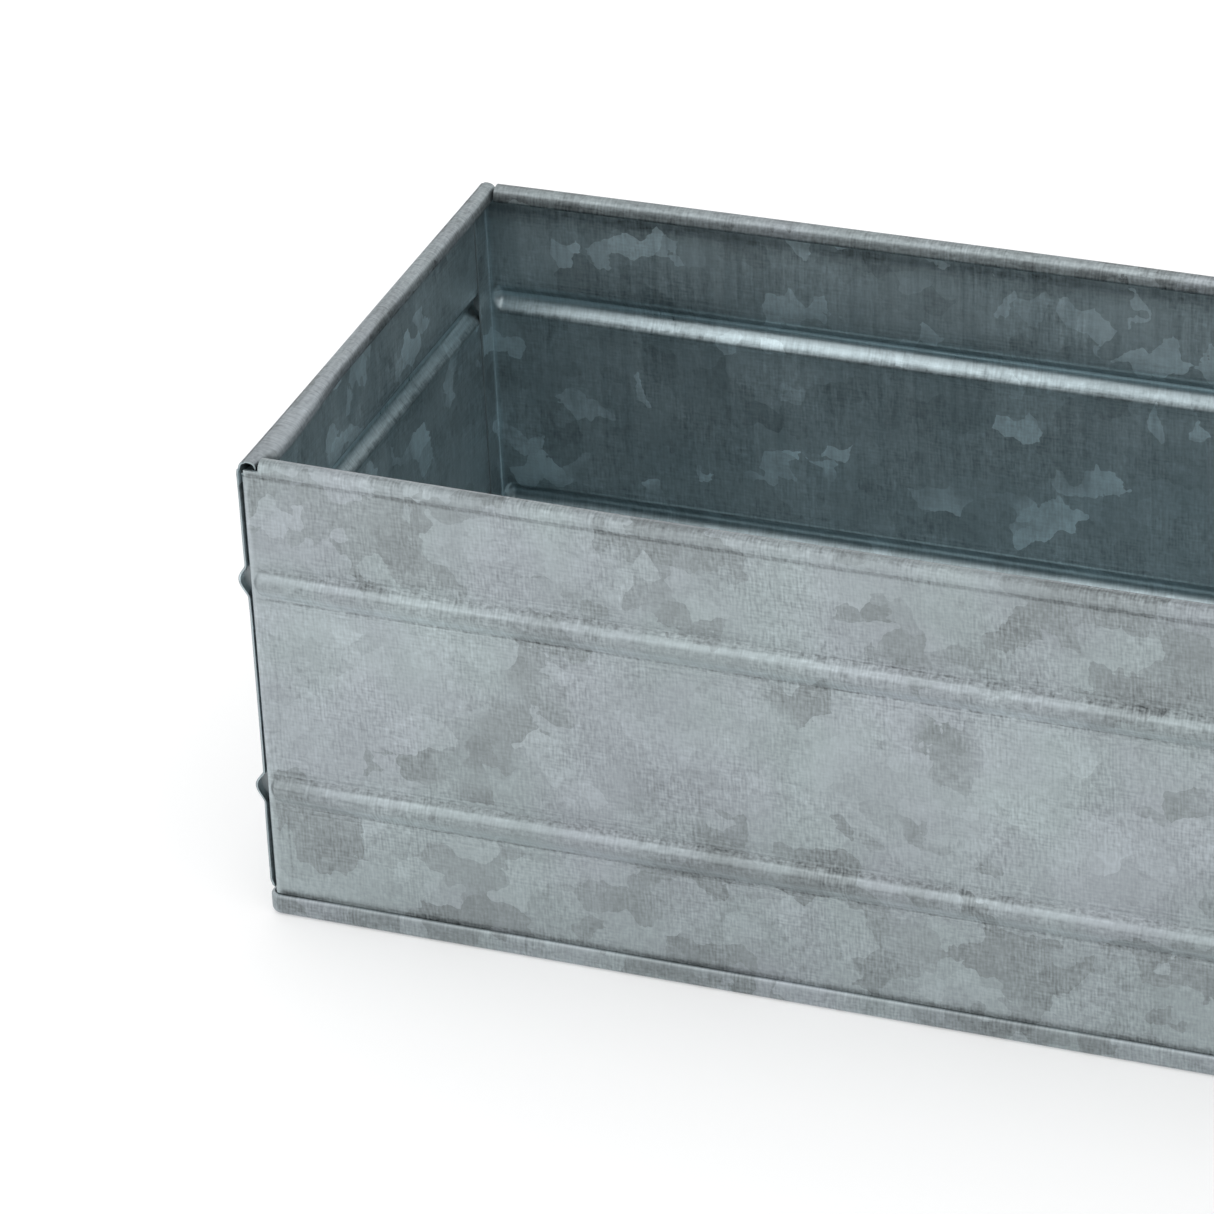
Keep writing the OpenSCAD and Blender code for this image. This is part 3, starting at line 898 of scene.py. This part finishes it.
def galvanised_material():
    """Zinc coat: crystal patches with ragged edges, a linen-like grain, streaks and wear; also painted
    shade, painted highlights and a painted reflection tint on the inner face.
    """
    material, tree, shader = new_material("galvanised_sheet")
    place = attribute(tree, "flat_place", "Vector")
    inside = attribute(tree, "inside")
    shine = attribute(tree, "shine")
    axes = node(tree, "ShaderNodeSeparateXYZ", {"Vector": place}).outputs

    patches, cell_tone, cluster = crystal_patches(tree, place, axes["Y"], inside, shine)
    clouds = spread(tree, noise(tree, place, CLOUD_SCALE, 3), 1 - CLOUD_TONE, 1 + CLOUD_TONE)
    linen, linen_tone = linen_grain(tree, place)
    streak_noise = dashes(tree, place, STREAK_SCALES, 3, 0.6)
    streak_reach = ranged(tree, inside, 0, 1, OUTER_STREAKS, INNER_STREAKS)
    streaks = times(tree, spread(tree, streak_noise, -1, 1), streak_reach)
    speckle = spread(tree, noise(tree, place, SPECKLE_SCALE, 2), -SPECKLE_TONE, SPECKLE_TONE)
    # painted shade low down and towards one end
    shade = painted_shade_falloff(tree, axes, inside)

    tone = times(tree, times(tree, patches, cell_tone), clouds)
    for extra in (linen_tone, streaks, *wear_tones(tree, place, inside), speckle, shade):
        tone = plus(tree, tone, extra)
    mauve_share = ranged(tree, noise(tree, place, MAUVE_SCALE, 2), *MAUVE_PLACES)
    bare_zinc = mixed(tree, mauve_share, OUTER_ZINC, MAUVE_ZINC)
    darkened = ranged(tree, patches, *DARK_PATCHES)
    # the inner face takes the zinc with its painted reflection tint
    zinc = mixed(tree, inside, mixed(tree, darkened, bare_zinc, DARK_ZINC), INNER_ZINC_REFLECTION_TINT)
    tree.links.new(vector_maths(tree, "MULTIPLY", zinc, tone), shader.inputs["Base Color"])

    roughness = spread(tree, cluster, *SHEET_ROUGHNESS)
    roughness = plus(tree, roughness, spread(tree, streak_noise, *STREAK_ROUGHNESS))
    roughness = minus(tree, roughness, times(tree, shine, BURNISHED_SMOOTHER))
    tree.links.new(roughness, shader.inputs["Roughness"])
    relief = maths(tree, "MULTIPLY_ADD", linen, LINEN_RELIEF, noise(tree, place, RELIEF_SCALE, 3))
    finish_metal(tree, shader, relief, RELIEF_STRENGTH, RELIEF_DEPTH)
    return material


# ---- solder ----

SOLDER_COLOUR = (0.30, 0.32, 0.33)
SOLDER_TONE = (0.8, 1.15)
SOLDER_ROUGHNESS = (0.42, 0.6)
LUMP_SCALE = 260
LUMP_STRENGTH = 0.6
LUMP_DEPTH = 0.2 * MM


def solder_material():
    """Dull tin solder with a lumpy surface."""
    material, tree, shader = new_material("solder")
    place = node(tree, "ShaderNodeTexCoord").outputs["Object"]
    lumps = noise(tree, place, LUMP_SCALE, 4)
    tone = spread(tree, lumps, *SOLDER_TONE)
    tree.links.new(vector_maths(tree, "MULTIPLY", SOLDER_COLOUR, tone), shader.inputs["Base Color"])
    tree.links.new(spread(tree, lumps, *SOLDER_ROUGHNESS), shader.inputs["Roughness"])
    finish_metal(tree, shader, lumps, LUMP_STRENGTH, LUMP_DEPTH)
    return material


# ---- studio ----

CAMERA_AZIMUTH = math.radians(22.83)        # round from straight in front of the front wall
CAMERA_ELEVATION = math.radians(30.20)
CAMERA_ROLL = math.radians(-3.11)
CAMERA_AIM = Vector((-0.154, -HALF_WIDTH, 0.161))
CAMERA_DISTANCE = 2.601
CAMERA_FOCUS = 209.4                        # mm, for a sensor 36 mm wide
SENSOR_WIDTH = 36
CAMERA_CLIP = (0.1, 50)
FLOOR_REACH = 6.0
FLOOR_LEVEL = -0.1 * MM                     # just below the tray, so that the two don't coincide
FLOOR_GREY = (0.72, 0.72, 0.72, 1)
FLOOR_ROUGHNESS = 0.9
FLOOR_GLOW = 0.30                           # keeps the floor as pale as a studio's
WHITE = (1, 1, 1, 1)


def camera_at_photo_angle():
    """The camera, which looks down on the left end of the front wall."""
    level = math.cos(CAMERA_ELEVATION)
    back = Vector((math.sin(CAMERA_AZIMUTH) * level, -math.cos(CAMERA_AZIMUTH) * level,
                   math.sin(CAMERA_ELEVATION)))
    lens = bpy.data.cameras.new("camera")
    lens.sensor_width = SENSOR_WIDTH
    lens.lens = CAMERA_FOCUS
    lens.clip_start, lens.clip_end = CAMERA_CLIP
    camera = bpy.data.objects.new("camera", lens)
    bpy.context.scene.collection.objects.link(camera)
    upright = (-back).to_track_quat("-Z", "Y").to_matrix()
    rolled = upright @ Matrix.Rotation(CAMERA_ROLL, 3, "Z")
    camera.matrix_world = Matrix.Translation(CAMERA_AIM + back * CAMERA_DISTANCE) @ rolled.to_4x4()
    bpy.context.scene.camera = camera


def softbox(name, place, size, power):
    """A soft rectangular light, turned towards the middle of the trough."""
    light = bpy.data.lights.new(name, "AREA")
    light.shape = "RECTANGLE"
    light.size, light.size_y = size
    light.energy = power
    lamp = bpy.data.objects.new(name, light)
    bpy.context.scene.collection.objects.link(lamp)
    lamp.location = place
    lamp.rotation_mode = "QUATERNION"
    lamp.rotation_quaternion = (Vector((0, 0, TOP / 2)) - Vector(place)).to_track_quat("-Z", "Y")


def white_world():
    """Even white light from all round."""
    world = bpy.data.worlds.new("studio")
    world.use_nodes = True
    background = world.node_tree.nodes["Background"]
    background.inputs["Color"].default_value = WHITE
    background.inputs["Strength"].default_value = 1.0
    bpy.context.scene.world = world


def pale_floor():
    """A plain floor, far wider than the view."""
    signs = [(-1, -1), (1, -1), (1, 1), (-1, 1)]
    corners = [(x * FLOOR_REACH, y * FLOOR_REACH, FLOOR_LEVEL) for x, y in signs]
    mesh = bpy.data.meshes.new("floor")
    mesh.from_pydata(corners, [], [(0, 1, 2, 3)])
    floor = bpy.data.objects.new("floor", mesh)
    bpy.context.scene.collection.objects.link(floor)
    material, _, shader = new_material("floor")
    shader.inputs["Base Color"].default_value = FLOOR_GREY
    shader.inputs["Roughness"].default_value = FLOOR_ROUGHNESS
    shader.inputs["Emission Color"].default_value = WHITE
    shader.inputs["Emission Strength"].default_value = FLOOR_GLOW
    mesh.materials.append(material)


# ---- assembly ----

camera_at_photo_angle()
bpy.context.scene.view_settings.view_transform = "Standard"
white_world()
softbox("front_softbox", place=(-0.8, -1.9, 2.6), size=(1.8, 1.0), power=8)
softbox("top_softbox", place=(-0.2, 0, 2.6), size=(1.2, 0.7), power=5)
pale_floor()

galvanised = galvanised_material()
solder = solder_material()
pieces = {
    "front_wall": long_wall("front_wall_sheet", 0, 1),
    "back_wall": long_wall("back_wall_sheet", 180, 2),
    "left_end_wall": end_wall("left_end_wall_sheet", -90, 3),
    "right_end_wall": end_wall("right_end_wall_sheet", 90, 4),
    "bottom_tray": bottom_tray("bottom_tray_sheet", 5),
}
for replaced, piece in pieces.items():
    piece.data.materials.append(galvanised)
    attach(piece, "root")
    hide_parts(replaced)
for name, cad_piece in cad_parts.items():
    if name.endswith("_solder"):
        cad_piece.data.materials.clear()
        cad_piece.data.materials.append(solder)
